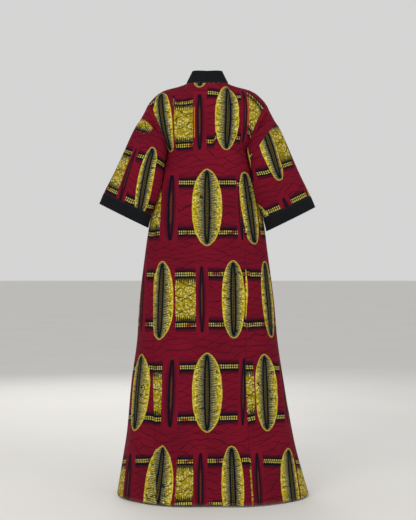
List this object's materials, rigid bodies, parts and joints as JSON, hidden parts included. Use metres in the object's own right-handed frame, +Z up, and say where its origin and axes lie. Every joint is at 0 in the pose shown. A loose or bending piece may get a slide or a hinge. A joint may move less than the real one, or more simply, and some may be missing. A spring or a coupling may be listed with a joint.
{
  "type": "kimono jacket",
  "caption": "Floor-length kimono jacket in its worn, hollow shape, open down the front, with wide elbow-length sleeves, plain cuffs, side gores and a neckband that runs to the hem.",
  "frame": {"origin": "midway between the two points where the shoulder seams meet the neck", "axes": "+Z up, -Y towards the garment's front, +X towards the wearer's left"},
  "size_m": [0.75, 0.4219, 1.4689],
  "materials": {
    "printed_cotton": "crimson wax-print cotton with olive-yellow leaf motifs, matt with a faint starch sheen",
    "black_cotton": "plain black cotton, matt"
  },
  "bodies": {
    "root": {"back_skirt": "printed_cotton", "back_waist": "printed_cotton", "back_yoke": "printed_cotton", "front_left_skirt": "printed_cotton", "front_left_waist": "printed_cotton", "front_left_yoke": "printed_cotton", "front_right_skirt": "printed_cotton", "front_right_waist": "printed_cotton", "front_right_yoke": "printed_cotton", "gore_left_skirt": "printed_cotton", "gore_left_waist": "printed_cotton", "gore_right_skirt": "printed_cotton", "gore_right_waist": "printed_cotton", "sleeve_left_upper": "printed_cotton", "sleeve_left_lower": "printed_cotton", "sleeve_right_upper": "printed_cotton", "sleeve_right_lower": "printed_cotton", "cuff_left": "black_cotton", "cuff_right": "black_cotton", "neckband_left_collar": "black_cotton", "neckband_left_waist": "black_cotton", "neckband_left_skirt": "black_cotton", "neckband_right_collar": "black_cotton", "neckband_right_waist": "black_cotton", "neckband_right_skirt": "black_cotton"}
  },
  "joints": []
}
